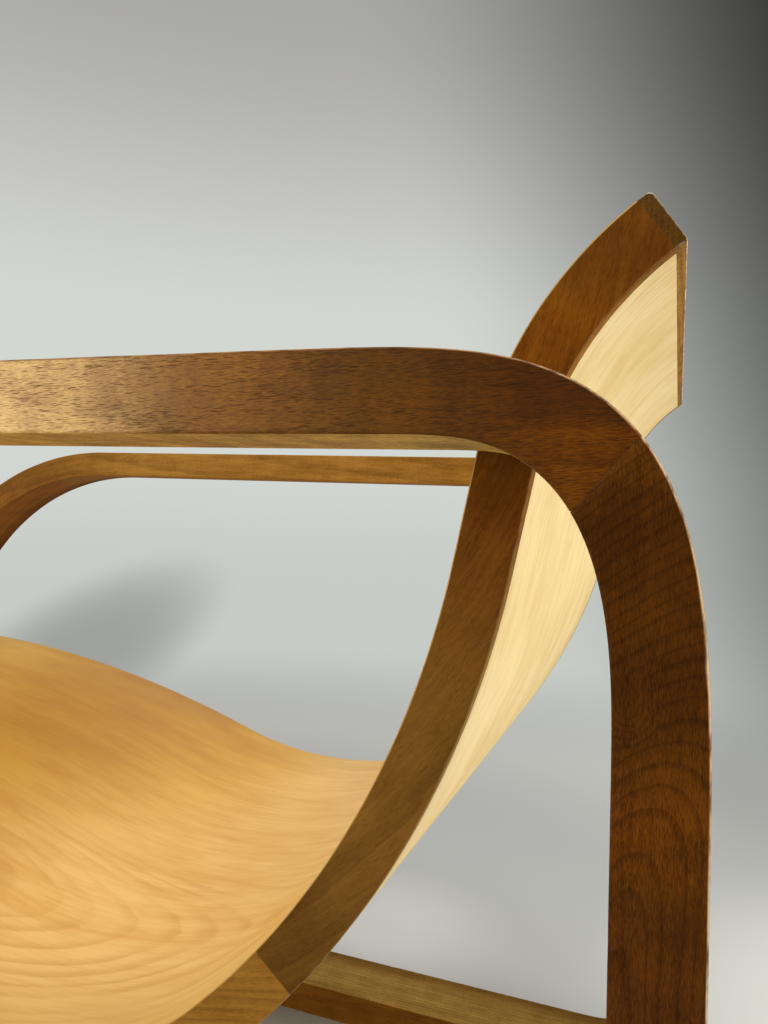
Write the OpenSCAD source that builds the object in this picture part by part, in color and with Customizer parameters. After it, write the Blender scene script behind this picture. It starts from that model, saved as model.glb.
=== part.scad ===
// Lounge chair: two closed side frames carry one curved seat-and-back shell.
// X runs across the chair, -Y is where the sitter looks, Z is up.
// Origin: on the floor, under the middle of the chair's outer box.

/* [Overall] */
// height of the arm tops above the floor
arm_height = 610.5; // [595:0.5:630]
// length of the side frame from its rear top corner to its foremost point
frame_reach = 987.4; // [900:0.2:1100]
// width of the shell
shell_width = 470; // [420:1:560]
// gap between the shell and each side frame
side_gap = 9; // [6:0.5:14]

/* [Side frames] */
// width of the side frames across the chair
frame_width = 67; // [50:1:80]
// thickness of the arm and of the front bend
arm_thickness = 28; // [26:0.2:31]
// thickness of the rear leg
leg_thickness = 26.8; // [25:0.2:32]
// thickness of the runner on the floor
runner_thickness = 33.2; // [28:0.2:38]
// radius of the front bend at its outer face
front_bend_radius = 320; // [290:1:350]
// backward lean of the rear leg, in millimetres per millimetre of drop
leg_lean = 0.019; // [0:0.001:0.03]
// length of the rear bends along the arm, outer face
bend_along_arm = 141; // [120:1:170]
// length of the rear bends along the leg, outer face
bend_along_leg = 165; // [130:1:190]
// fullness of the outer bend curve, 2 is an ellipse
bend_fullness = 4.1; // [3:0.1:5]
// length of the rear bends along the arm, inner face
hollow_along_arm = 68; // [60:1:80]
// length of the rear bends along the leg, inner face
hollow_along_leg = 99; // [80:1:110]
// fullness of the inner bend curve
hollow_fullness = 3; // [2.5:0.1:3.5]
// where the joint line crosses the rear bends, 0 at the leg's end and 90 at the arm's
joint_angle = 43; // [38:1:50]

/* [Frame tongues] */
// length of a tongue, half of it in each piece
tongue_length = 30; // [20:1:36]
// breadth of a tongue along the joint line
tongue_breadth = 14; // [10:1:16]
// thickness of a tongue across the frame
tongue_thickness = 10; // [8:1:16]
// play of a tongue in its slot
tongue_play = 0.15; // [0.1:0.05:0.3]

/* [Shell] */
// thickness of the whole shell from face to face
shell_thickness = 23.7; // [22:0.1:26]
// height of the shell's top front corner above the arm tops
top_rise = 70; // [55:1:85]
// distance of that corner in front of the side frame's rear top corner
top_setback = 23.1; // [20:0.5:27]
// slope of the shell's face at its top, measured from level
top_slope = 35.67; // [34:0.2:37]
// radius of the roll at the top of the back
roll_radius = 156; // [140:1:170]
// turn of that roll in degrees
roll_angle = 43.7; // [42:0.1:45]
// length of the flat stretch behind the arms
flat_length = 45.3; // [40:0.5:55]
// radius of the back's hollow
back_radius = 386; // [375:1:400]
// turn of the back's hollow in degrees
back_angle = 36.7; // [35.5:0.1:38]
// radius of the tight bend between back and seat
lumbar_radius = 116; // [105:1:130]
// turn of that bend in degrees
lumbar_angle = 27.3; // [26:0.1:28.5]
// radius of the seat's hollow
seat_radius = 319; // [305:1:335]
// turn of the seat's hollow in degrees
seat_angle = 34.4; // [33:0.1:36]
// turn of the long swell under the thighs in degrees
thigh_angle = 17.2; // [16.4:0.1:18]
// radius of the nose at the seat's front
nose_radius = 145; // [135:0.5:155]
// distance of the nose behind the foremost point of the side frames
nose_setback = 0.6; // [0.4:0.1:4]
// length of the nose past the front fixing, along the face
nose_overhang = 16.4; // [15:0.1:22]

/* [Shell parts] */
// width of the side boards across the chair
board_width = 20; // [16:0.5:28]
// width of the dark lip beside the rear facing
lip_width = 7; // [5:0.5:10]
// thickness of the front and seat facing
face_veneer = 0.6; // [0.5:0.1:1.5]
// thickness of the rear facing
rear_facing_thickness = 3; // [2:0.1:4]
// play between the rear facing and the lips and edgings round it
facing_play = 0.2; // [0.1:0.1:0.4]
// thickness of the top and front edging strips
edging_thickness = 6; // [4:0.5:9]
// place of the upper seam of the side boards, along the face from the top
upper_seam = 362.2; // [320:1:400]
// place of the lower seam of the side boards, along the face from the top
lower_seam = 740; // [700:1:780]

/* [Seam dowels] */
// diameter of the dowels across the seams
dowel_diameter = 6; // [5:0.5:7]
// length of those dowels
dowel_length = 36; // [24:1:44]
// distance between the two dowels of a seam
dowel_spacing = 10.5; // [9.5:0.5:11.5]
// play of a dowel in its bore
dowel_play = 0.1; // [0.05:0.05:0.2]

/* [Fixings] */
// place of the rear fixing, along the face from the top
rear_fixing = 105; // [98:1:112]
// diameter of the spacer discs
spacer_diameter = 20; // [16:0.5:22]
// diameter of the threaded studs
stud_diameter = 8; // [6:1:9]
// length of the threaded inserts in the frames
frame_insert_length = 25; // [18:1:32]
// diameter of the threaded inserts
insert_diameter = 12; // [11:0.5:14]
// length of the threaded inserts in the boards
board_insert_length = 15; // [12:0.5:15.5]
// play round the studs in their holes
stud_play = 0.15; // [0.1:0.05:0.3]
// play round the inserts in their bores
insert_play = 0.1; // [0.05:0.05:0.2]

/* [Hidden] */
$fn = 48;
cut = 1;
bend_steps = 24;
arc_angle = 3;
longest_facet = 30;

inner_x = shell_width / 2 + side_gap;
outer_x = inner_x + frame_width;
overall_width = 2 * outer_x;
core_half = shell_width / 2 - board_width;
core_depth = shell_thickness - rear_facing_thickness;

// Rear bends: superellipse quarters whose leg side follows the lean.
function lean(z) = leg_lean * (arm_height - z);
function bend(y0, z0, side, a, b, n, from, to) = [
    for (i = [0:bend_steps])
        let(t = from + (to - from) * i / bend_steps)
        let(z = z0 - side * b * (1 - pow(max(0, sin(t)), 2 / n)))
        [y0 - a * (1 - pow(max(0, cos(t)), 2 / n)) + lean(z), z]
];
function outer_bend(z0, side, from, to) =
    bend(0, z0, side, bend_along_arm, bend_along_leg, bend_fullness, from, to);
function inner_bend(z0, side, from, to) =
    bend(-leg_thickness, z0, side, hollow_along_arm, hollow_along_leg, hollow_fullness, from, to);
function upper_outer(from, to) = outer_bend(arm_height, 1, from, to);
function upper_inner(from, to) = inner_bend(arm_height - arm_thickness, 1, from, to);
function lower_outer(from, to) = outer_bend(0, -1, from, to);
function lower_inner(from, to) = inner_bend(runner_thickness, -1, from, to);

// Front bends: a circle above the joint, and below it a circle with an elliptic inner face.
upper_centre = [front_bend_radius - frame_reach, arm_height - front_bend_radius];
lower_radius = arm_height - front_bend_radius;
lower_centre = [lower_radius - frame_reach, lower_radius];
function arc(centre, ry, rz, from, to) = [
    for (i = [0:round(abs(to - from) / arc_angle)])
        let(t = from + (to - from) * i / round(abs(to - from) / arc_angle))
        centre + [ry * cos(t), rz * sin(t)]
];

// Shell face: a chain of tangent arcs from the top corner, each [turn in degrees, length].
function run(radius, turn) = [turn, radius * abs(turn) * PI / 180];
function move(p, turn, length) = turn == 0
    ? [p[0] + length * cos(p[2]), p[1] + length * sin(p[2]), p[2]]
    : let(r = length * 180 / (turn * PI))
      [p[0] + r * (sin(p[2] + turn) - sin(p[2])), p[1] - r * (cos(p[2] + turn) - cos(p[2])), p[2] + turn];
function under(p, depth) = [p[0] - depth * sin(p[2]), p[1] + depth * cos(p[2])];
face_start = [-top_setback, arm_height + top_rise, 180 + top_slope];
back_runs = [
    run(roll_radius, roll_angle),
    [0, flat_length],
    run(back_radius, -back_angle),
    run(lumbar_radius, -lumbar_angle),
    run(seat_radius, -seat_angle)
];
function after(i) = i == 0 ? face_start : move(after(i - 1), back_runs[i - 1][0], back_runs[i - 1][1]);

// The swell under the thighs takes the radius that brings the nose to the front of the frames.
thigh_start = after(len(back_runs));
nose_heading = thigh_start[2] + thigh_angle;
nose_reach = nose_setback - frame_reach + nose_radius * (1 + sin(nose_heading));
thigh_radius = (nose_reach - thigh_start[0]) / (sin(nose_heading) - sin(thigh_start[2]));
thigh_run = run(thigh_radius, thigh_angle);
nose_start = move(thigh_start, thigh_run[0], thigh_run[1]);

// Front fixing: where the nose's middle line crosses the middle line of the front bend.
nose_centre = under(nose_start, nose_radius);
nose_mid = nose_radius - shell_thickness / 2;
frame_mid = front_bend_radius - arm_thickness / 2;
centre_gap = norm(upper_centre - nose_centre);
towards = (upper_centre - nose_centre) / centre_gap;
reach_in = (centre_gap * centre_gap + nose_mid * nose_mid - frame_mid * frame_mid) / (2 * centre_gap);
reach_out = sqrt(max(0, nose_mid * nose_mid - reach_in * reach_in));
front_point = nose_centre + reach_in * towards + reach_out * [-towards[1], towards[0]];
from_centre = front_point - nose_centre;
fixing_heading = 360 + atan2(from_centre[0], -from_centre[1]);
nose_angle = fixing_heading - nose_heading + nose_overhang * 180 / (nose_radius * PI);

runs = concat(back_runs, [thigh_run, run(nose_radius, nose_angle)]);
function face(s, p = face_start, i = 0) = i == len(runs) - 1 || s <= runs[i][1]
    ? move(p, runs[i][0] * s / runs[i][1], s)
    : face(s - runs[i][1], move(p, runs[i][0], runs[i][1]), i + 1);
function length_to(i) = i == 0 ? 0 : length_to(i - 1) + runs[i - 1][1];
face_length = length_to(len(runs));

// Stations along the face that all shell pieces share, so that touching faces match.
function sorted(v) = len(v) <= 1 ? v :
    concat(sorted([for (x = v) if (x < v[0]) x]), [v[0]], sorted([for (x = v) if (x > v[0]) x]));
function facets(i) = ceil(max(abs(runs[i][0]) / arc_angle, runs[i][1] / longest_facet));
stations = sorted(concat(
    [edging_thickness, upper_seam, lower_seam, face_length - edging_thickness, face_length],
    [for (i = [0:len(runs) - 1]) for (j = [0:facets(i) - 1]) length_to(i) + runs[i][1] * j / facets(i)]
));
function stretch(from, to) = [for (s = stations) if (s >= from && s <= to) s];
function reversed(v) = [for (i = [len(v) - 1:-1:0]) v[i]];
function band(from, to, near, far) = concat(
    [for (s = stretch(from, to)) under(face(s), near)],
    [for (s = reversed(stretch(from, to))) under(face(s), far)]
);
board_marks = [edging_thickness, upper_seam, lower_seam, face_length - edging_thickness];

// Shift that puts the middle of the outer box at y = 0.
shell_outline = band(0, face_length, 0, shell_thickness);
leg_outline = concat(upper_outer(0, 90), lower_outer(0, 90));
foremost = min(-frame_reach, min([for (p = shell_outline) p[0]]));
rearmost = max([for (p = concat(shell_outline, leg_outline)) p[0]]);
y_shift = -(foremost + rearmost) / 2;

rear_point = under(face(rear_fixing), shell_thickness / 2);
fixing_points = [rear_point, front_point];
stud_start = shell_width / 2 - board_insert_length;
stud_end = inner_x + frame_insert_length;

frame_colour = [0.34, 0.2, 0.11];
ash_colour = [0.86, 0.66, 0.41];
hidden_wood_colour = [0.74, 0.6, 0.42];
metal_colour = [0.62, 0.62, 0.6];

// A profile drawn in the Y-Z plane, made solid between two places across the chair.
module across(from, to) {
    translate([from, y_shift, 0]) rotate([90, 0, 90]) linear_extrude(to - from) children();
}

// The same on the side named by side: 1 for +X, -1 for -X.
module across_side(side, from, to) {
    across(side > 0 ? from : -to, side > 0 ? to : -from) children();
}

module rod(side, point, diameter, from, to) {
    across_side(side, from, to) translate(point) circle(d = diameter);
}

// A tongue lies across a joint line, in the middle of the frame's width.
module tongue(side, joint, play) {
    line = joint[1] - joint[0];
    middle_x = (inner_x + outer_x) / 2;
    half = tongue_thickness / 2 + play;
    across_side(side, middle_x - half, middle_x + half)
        translate((joint[0] + joint[1]) / 2)
        rotate(atan2(line[1], line[0]))
        square([tongue_breadth + 2 * play, tongue_length + 2 * play], center = true);
}

upper_joint = [upper_outer(joint_angle, joint_angle)[0], upper_inner(joint_angle, joint_angle)[0]];
lower_joint = [lower_outer(joint_angle, joint_angle)[0], lower_inner(joint_angle, joint_angle)[0]];
front_joint = [[-frame_reach, lower_radius], [arm_thickness - frame_reach, lower_radius]];

module frame_insert_bores(side) {
    for (p = fixing_points)
        rod(side, p, insert_diameter + 2 * insert_play, inner_x - cut, stud_end + insert_play);
}

module arm_rail(side) color(frame_colour) difference() {
    across_side(side, inner_x, outer_x) polygon(concat(
        upper_outer(joint_angle, 90),
        arc(upper_centre, front_bend_radius, front_bend_radius, 90, 180),
        arc(upper_centre, front_bend_radius - arm_thickness, front_bend_radius - arm_thickness, 180, 90),
        upper_inner(90, joint_angle)
    ));
    tongue(side, upper_joint, tongue_play);
    tongue(side, front_joint, tongue_play);
    frame_insert_bores(side);
}

module rear_leg(side) color(frame_colour) difference() {
    across_side(side, inner_x, outer_x) polygon(concat(
        upper_outer(joint_angle, 0),
        lower_outer(0, joint_angle),
        lower_inner(joint_angle, 0),
        upper_inner(0, joint_angle)
    ));
    tongue(side, upper_joint, tongue_play);
    tongue(side, lower_joint, tongue_play);
}

module runner(side) color(frame_colour) difference() {
    across_side(side, inner_x, outer_x) polygon(concat(
        arc(lower_centre, lower_radius, lower_radius, 180, 270),
        lower_outer(90, joint_angle),
        lower_inner(joint_angle, 90),
        arc(lower_centre, lower_radius - arm_thickness, lower_radius - runner_thickness, 270, 180)
    ));
    tongue(side, lower_joint, tongue_play);
    tongue(side, front_joint, tongue_play);
    frame_insert_bores(side);
}

module frame_tongues(side) color(hidden_wood_colour) {
    for (joint = [upper_joint, lower_joint, front_joint])
        tongue(side, joint, 0);
}

// Dowels lie across a board seam, two of them one behind the other in the shell's thickness.
module seam_dowels_at(side, station, diameter, length) {
    place = face(station);
    for (shift = [-1, 1]) {
        middle = under(place, core_depth / 2 + shift * dowel_spacing / 2);
        translate([side * (shell_width / 2 - board_width / 2), middle[0] + y_shift, middle[1]])
            rotate([place[2], 0, 0])
            rotate([90, 0, 0])
            cylinder(h = length, d = diameter, center = true);
    }
}

module seam_dowels(side) color(hidden_wood_colour) {
    for (station = [upper_seam, lower_seam])
        seam_dowels_at(side, station, dowel_diameter, dowel_length);
}

// One length of side board, with the step in which the rear facing lies.
module board(side, from, to) color(frame_colour) difference() {
    across_side(side, core_half, shell_width / 2)
        polygon(band(from, to, face_veneer, shell_thickness));
    across_side(side, core_half - cut, shell_width / 2 - lip_width)
        polygon(band(0, face_length, core_depth, shell_thickness + cut));
    for (station = [upper_seam, lower_seam])
        seam_dowels_at(side, station, dowel_diameter + 2 * dowel_play, dowel_length + 2 * dowel_play);
    for (p = fixing_points)
        rod(side, p, insert_diameter + 2 * insert_play, stud_start - insert_play, shell_width / 2 + cut);
}

module back_board(side) board(side, board_marks[0], board_marks[1]);
module seat_board(side) board(side, board_marks[1], board_marks[2]);
module front_board(side) board(side, board_marks[2], board_marks[3]);

module shell_core() color(hidden_wood_colour)
    across(-core_half, core_half)
    polygon(band(board_marks[0], board_marks[3], face_veneer, core_depth));

module seat_facing() color(ash_colour)
    across(-shell_width / 2, shell_width / 2)
    polygon(band(board_marks[0], board_marks[3], 0, face_veneer));

module rear_facing() color(ash_colour)
    across(-shell_width / 2 + lip_width + facing_play, shell_width / 2 - lip_width - facing_play)
    polygon(band(board_marks[0], board_marks[3], core_depth, shell_thickness));

module top_edging() color(frame_colour)
    across(-shell_width / 2, shell_width / 2)
    polygon(band(0, board_marks[0], 0, shell_thickness));

module front_edging() color(frame_colour)
    across(-shell_width / 2, shell_width / 2)
    polygon(band(board_marks[3], face_length, 0, shell_thickness));

module spacer_discs() color(frame_colour)
    for (side = [-1, 1]) for (p = fixing_points)
        difference() {
            rod(side, p, spacer_diameter, shell_width / 2, inner_x);
            rod(side, p, stud_diameter + 2 * stud_play, shell_width / 2 - cut, inner_x + cut);
        }

module fixing_studs() color(metal_colour)
    for (side = [-1, 1]) for (p = fixing_points)
        rod(side, p, stud_diameter, stud_start, stud_end);

// Sleeve with the stud's bore through it.
module insert_at(side, point, from, to) difference() {
    rod(side, point, insert_diameter, from, to);
    rod(side, point, stud_diameter + 2 * stud_play, from - cut, to + cut);
}

module frame_inserts() color(metal_colour)
    for (side = [-1, 1]) for (p = fixing_points)
        insert_at(side, p, inner_x, stud_end);

module board_inserts() color(metal_colour)
    for (side = [-1, 1]) for (p = fixing_points)
        insert_at(side, p, stud_start, shell_width / 2);

arm_rail(1);  // arm_rail_left
arm_rail(-1);  // arm_rail_right
rear_leg(1);  // rear_leg_left
rear_leg(-1);  // rear_leg_right
runner(1);  // runner_left
runner(-1);  // runner_right
frame_tongues(1);  // frame_tongues_left
frame_tongues(-1);  // frame_tongues_right
back_board(1);  // back_board_left
back_board(-1);  // back_board_right
seat_board(1);  // seat_board_left
seat_board(-1);  // seat_board_right
front_board(1);  // front_board_left
front_board(-1);  // front_board_right
shell_core();
seat_facing();
rear_facing();
top_edging();
front_edging();
seam_dowels(1);  // seam_dowels_left
seam_dowels(-1);  // seam_dowels_right
spacer_discs();
fixing_studs();
frame_inserts();
board_inserts();
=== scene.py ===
# %% [markdown]
# # A wooden lounge chair, seen close from behind
# The chair is three things: two closed side frames that are arm, leg and runner in one, and a curved shell between
# them that is seat and back. The CAD model already holds every piece at its real size. This lesson dresses it: it
# makes the wood that shows once more, with smooth curves and soft edges, and gives each piece grain that runs the way
# its plank was cut. The CAD nodes that hide inside the chair keep their meshes and only get a material.

# %% Load the CAD model as a fixed frame
import math

import bpy
import numpy as np
from mathutils import Matrix, Vector


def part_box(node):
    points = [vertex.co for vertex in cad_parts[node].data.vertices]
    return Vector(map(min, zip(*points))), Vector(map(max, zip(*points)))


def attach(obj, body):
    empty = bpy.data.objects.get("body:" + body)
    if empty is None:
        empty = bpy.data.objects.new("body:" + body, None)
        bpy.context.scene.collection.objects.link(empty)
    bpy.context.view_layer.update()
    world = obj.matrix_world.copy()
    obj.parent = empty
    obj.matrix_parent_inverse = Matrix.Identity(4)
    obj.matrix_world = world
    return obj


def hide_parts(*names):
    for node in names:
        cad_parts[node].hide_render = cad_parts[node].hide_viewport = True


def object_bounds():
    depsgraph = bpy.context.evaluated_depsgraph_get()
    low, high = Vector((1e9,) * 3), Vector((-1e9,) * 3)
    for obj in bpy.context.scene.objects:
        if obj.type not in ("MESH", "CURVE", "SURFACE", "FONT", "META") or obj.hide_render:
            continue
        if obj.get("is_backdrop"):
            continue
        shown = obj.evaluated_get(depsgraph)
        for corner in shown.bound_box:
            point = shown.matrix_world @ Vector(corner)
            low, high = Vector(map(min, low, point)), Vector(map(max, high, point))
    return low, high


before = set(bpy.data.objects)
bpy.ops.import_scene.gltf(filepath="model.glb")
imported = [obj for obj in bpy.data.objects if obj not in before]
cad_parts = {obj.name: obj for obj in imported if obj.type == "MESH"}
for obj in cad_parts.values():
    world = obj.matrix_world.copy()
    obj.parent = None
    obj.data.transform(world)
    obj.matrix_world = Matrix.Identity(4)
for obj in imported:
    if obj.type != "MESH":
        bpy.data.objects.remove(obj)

cad_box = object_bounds()
print("CAD box in metres:", [round(v, 4) for corner in cad_box for v in corner])


def placed(name, data):
    """Puts data into the scene as an object at the origin."""
    made = bpy.data.objects.new(name, data)
    bpy.context.scene.collection.objects.link(made)
    return made

# %% [markdown]
# Everything is placed from the frame. Its boxes give the heights and widths, and only the shape of each curve is
# written here, mostly under the names that the part's source has. Lengths are in millimetres until a mesh is made,
# and the side view is drawn in two numbers, y from the frame's sharp rear corner and z above the floor.

# %% Sizes read from the frame, and the sizes of the curves
MM = 0.001
arm_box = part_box("arm_rail_left")
inner_x, outer_x = arm_box[0].x / MM, arm_box[1].x / MM
arm_height = arm_box[1].z / MM
shell_width = 2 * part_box("seat_facing")[1].x / MM

frame_reach = 987.4
arm_thickness, leg_thickness, runner_thickness = 28.0, 26.8, 33.2
front_bend_radius = 320.0
leg_lean = 0.019
outer_bend = dict(along_arm=141.0, along_leg=165.0, fullness=4.1)
inner_bend = dict(along_arm=68.0, along_leg=99.0, fullness=3.0)
joint_angle = 43.0
rear_y = arm_box[0].y / MM + frame_reach
print("arm height", round(arm_height, 1), "shell width", round(shell_width, 1), "rear corner at y", round(rear_y, 1))

# %% [markdown]
# ## Camera
# The photograph was taken from very near the chair, just behind its left arm, with a wide lens and the phone tilted
# two degrees. A camera is a position and three directions: right, up and backwards. Writing them as the columns of a
# matrix is clearer than three turning angles, and it carries the tilt along.

# %% The camera that matches the photograph
image_height = 1024
focal_pixels = 797.0
camera_yaw, camera_drop, camera_roll = 0.35356, 0.01118, 0.03511
camera_place = Vector((outer_x + 235.0, rear_y - 9.1, arm_height - 49.6)) * MM

ahead = Vector((-math.cos(camera_yaw), -math.sin(camera_yaw), 0))
right = Vector((-math.sin(camera_yaw), math.cos(camera_yaw), 0))
up = Vector((0, 0, 1))
looking = math.cos(camera_drop) * ahead - math.sin(camera_drop) * up
tilted_up = math.sin(camera_drop) * ahead + math.cos(camera_drop) * up
camera_right = math.cos(camera_roll) * right + math.sin(camera_roll) * tilted_up
camera_up = -math.sin(camera_roll) * right + math.cos(camera_roll) * tilted_up

lens = bpy.data.cameras.new("photo_lens")
lens.sensor_width = 36.0
lens.lens = focal_pixels / image_height * lens.sensor_width
lens.clip_start, lens.clip_end = 0.01, 50
camera = placed("photo_camera", lens)
turned = Matrix((camera_right, camera_up, -looking)).transposed().to_4x4()
camera.matrix_world = Matrix.Translation(camera_place) @ turned
bpy.context.scene.camera = camera
bpy.context.scene.view_settings.view_transform = "Standard"
print("lens", round(lens.lens, 2), "mm, camera at", [round(v, 3) for v in camera_place])

# %% [markdown]
# ## Materials
# Three finishes show: a dark, open-pored wood, a honey-coloured ash on the seat and a paler ash on the back. A
# material is a tree of small steps, which can be drawn in the Shader Editor or, as here, written like formulas. For
# that a short helper is enough: each of its methods adds one node, links what it is given, and hands on the result.

# %% A helper that writes shader trees line by line
class Shader:
    """Adds nodes to the tree of a material or a world. A value may be a number, a colour or another node's socket."""

    def __init__(self, owner):
        owner.use_nodes = True
        self.owner, self.tree = owner, owner.node_tree
        self.surface = self.tree.nodes.get("Principled BSDF")

    def plug(self, socket, value):
        if isinstance(value, bpy.types.NodeSocket):
            self.tree.links.new(value, socket)
        else:
            socket.default_value = value

    def node(self, kind, settings=None, **inputs):
        made = self.tree.nodes.new(kind)
        for key, value in (settings or {}).items():
            setattr(made, key, value)
        for key, value in inputs.items():
            self.plug(made.inputs[key], value)
        return made

    def in_order(self, kind, settings, values):
        made = self.node(kind, settings)
        for socket, value in zip(made.inputs, values):
            self.plug(socket, value)
        return made.outputs

    def math(self, operation, a, b=0.0, c=0.0):
        return self.in_order("ShaderNodeMath", {"operation": operation}, (a, b, c))[0]

    def plus(self, a, b):
        return self.math("ADD", a, b)

    def minus(self, a, b):
        return self.math("SUBTRACT", a, b)

    def times(self, *values):
        product = values[0]
        for value in values[1:]:
            product = self.math("MULTIPLY", product, value)
        return product

    def scaled(self, value, by, added):
        """value * by + added"""
        return self.math("MULTIPLY_ADD", value, by, added)

    def vector(self, operation, a, b=(0, 0, 0)):
        outputs = self.in_order("ShaderNodeVectorMath", {"operation": operation}, (a, b))
        return outputs["Value" if operation in ("LENGTH", "DOT_PRODUCT") else "Vector"]

    def noise(self, place, scale, detail=2.0, roughness=0.5):
        """Soft random spots; scale says how many there are per metre along X, Y and Z."""
        stretched = self.vector("MULTIPLY", place, scale)
        made = self.node("ShaderNodeTexNoise", Vector=stretched, Scale=1.0, Detail=detail, Roughness=roughness)
        return made.outputs["Fac"]

    def ramp(self, value, low, high, start=0.0, end=1.0):
        """Goes softly from start to end while value goes from low to high."""
        limits = (value, low, high, start, end)
        return self.in_order("ShaderNodeMapRange", {"interpolation_type": "SMOOTHSTEP"}, limits)["Result"]

    def mix(self, amount, a, b, blend="MIX"):
        made = self.node("ShaderNodeMix", {"data_type": "RGBA", "blend_type": blend})
        for index, value in ((0, amount), (6, a), (7, b)):
            self.plug(made.inputs[index], value if isinstance(value, (float, bpy.types.NodeSocket)) else (*value, 1))
        return made.outputs[2]

    def parts(self, place):
        return self.node("ShaderNodeSeparateXYZ", Vector=place).outputs

    def attribute(self, name, output):
        return self.node("ShaderNodeAttribute", {"attribute_name": name}).outputs[output]

    def choose(self, amount, first, second):
        """Shows the first shader where amount is 0 and the second where it is 1."""
        return self.in_order("ShaderNodeMixShader", {}, (amount, first, second))[0]

    def finish(self, colour, roughness, height, strength, depth):
        """Gives the surface its colour, roughness and fine relief, and returns the material."""
        relief = self.node("ShaderNodeBump", Height=height, Strength=strength, Distance=depth).outputs["Normal"]
        for name, value in (("Base Color", colour), ("Roughness", roughness), ("Normal", relief)):
            self.plug(self.surface.inputs[name], value)
        return self.owner

    def shine(self, level, tint):
        self.surface.inputs["Specular IOR Level"].default_value = level
        self.surface.inputs["Specular Tint"].default_value = (*tint, 1)


print("shader helper ready")

# %% [markdown]
# ### Where a point lay in its plank
# Wood looks right when its pattern belongs to the plank and not to the surface. So every piece carries an attribute
# called grain_place, in metres: Z runs along the fibres, Y across them in the face that shows, and X is the depth
# under that face, counted downwards from 0. Growth rings are circles round the tree's heart line, pores are short
# streaks along Z, and both bend or end exactly where the real wood's would. A dict called heart says where the
# heart line lies: across and deep give its place, slope tilts it, bow and width bend it away like a curved trunk,
# follow leans it sideways, and knot is a point where the rings bulge round a small branch.

# %% Growth rings
def growth_rings(s, place, heart, spacing, waver, uneven=0.8):
    """Runs from 0 to 1 across each growth ring."""
    part = s.parts(place)
    run = s.minus(part["Z"], heart["start"])
    bend = s.math("SQRT", s.scaled(run, run, heart.get("width", 0.0) ** 2))
    deep = s.plus(part["X"], s.scaled(run, heart["slope"], heart["deep"]))
    deep = s.scaled(bend, heart.get("bow", 0.0), deep)
    away = s.minus(part["Y"], s.scaled(deep, heart.get("follow", 0.0), heart["across"]))
    radius = s.math("SQRT", s.scaled(away, away, s.times(deep, deep)))
    slow = s.minus(s.noise(place, (18, 18, 9)), 0.5)
    quick = s.minus(s.noise(place, (130, 130, 60)), 0.5)
    radius = s.plus(radius, s.scaled(quick, waver * 0.5, s.times(slow, waver * 2)))
    if "knot" in heart:
        from_knot = s.vector("MULTIPLY", s.vector("SUBTRACT", place, heart["knot"]), (0.5, 1, 0.7))
        radius = s.plus(radius, s.ramp(s.vector("LENGTH", from_knot), 0.0, 0.0085, 0.010, 0.0))
    good_years = s.noise(s.node("ShaderNodeCombineXYZ", X=radius).outputs[0], (0.42 / spacing, 1, 1), 1)
    return s.math("FRACT", s.scaled(good_years, uneven * 2, s.math("DIVIDE", radius, spacing)))


PLAIN_HEART = dict(across=0.004, deep=0.150, slope=0.02, start=0.0)
LEG_HEART = dict(across=-0.0293, deep=0.0, slope=0.325, bow=0.325, start=0.4667, width=0.0427, follow=0.83,
                 knot=(0.0, -0.0218, 0.504))
SEAT_HEART = dict(across=0.135, deep=0.040, slope=0.0, bow=0.27, start=0.655, width=0.034)
BACK_HEART = dict(across=-0.06, deep=0.120, slope=0.03, start=0.2)
print("growth rings ready")

# %% [markdown]
# ### Lighter and darker stretches
# Most stretches paint light and shade into the colour: the sheen and window light along the near arm, shade at its
# bend and under the arm on the back's board, and light falling off across the seat and along the far frame. The darker
# ends of the edging strips are the wood's own tone. A stretch is a gain for red, green and blue, with the places where
# it sets in and where it is full, along the plank's axes. It multiplies the colour, so the grain stays, and it belongs
# to the piece, so it keeps its place in every view. A strong gain would also exaggerate the grain, and calm evens that
# out first. Painting a mask by hand in Texture Paint would do the same, but needs an image.

# %% Stretches
def stretch(gain, calm=False, **limits):
    """limits: X, Y or Z=(where it sets in, where it is full). A second limit on an axis is called Z_end."""
    return [(axis[0], *ends) for axis, ends in limits.items()], gain, calm


def stretched(s, colour, place, gains, even_tone=None):
    """Lays the gains over colour; even_tone is the wood's mean colour, which calm gains mix in by half."""
    part = s.parts(place)
    for limits, gain, calm in gains:
        amount = s.times(*[s.ramp(part[axis], start, full) for axis, start, full in limits])
        if calm:
            colour = s.mix(s.times(amount, 0.5), colour, even_tone)
        colour = s.mix(amount, colour, gain, "MULTIPLY")
    return colour


print("stretches ready")

# %% [markdown]
# ### The dark wood
# Seen close, the frame is brown with darker growth lines, countless short pores that look like scratches, and a satin
# oil finish that shines where light rakes along it. Its outer edges have worn pale. The tone is four noises of
# different length laid over each other: fibres, streaks, bands and a broad figure. The pores are Voronoi cells
# stretched along the fibres, more of them in the dark part of each ring. The wear reads a second attribute, edge: it
# is 1 on the rounded outer corners, less where an edge is only a little worn, and -1 on the underside of a frame
# piece, which may get a gain of its own. On the near arm that gain is painted light: the reflection and the bounce
# from the floor that lighten its underside.

# %% Dark wood
RING_TINT, PORE_TINT, OIL_TINT = (0.40, 0.33, 0.25), (0.24, 0.16, 0.09), (1.0, 0.60, 0.22)


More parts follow.
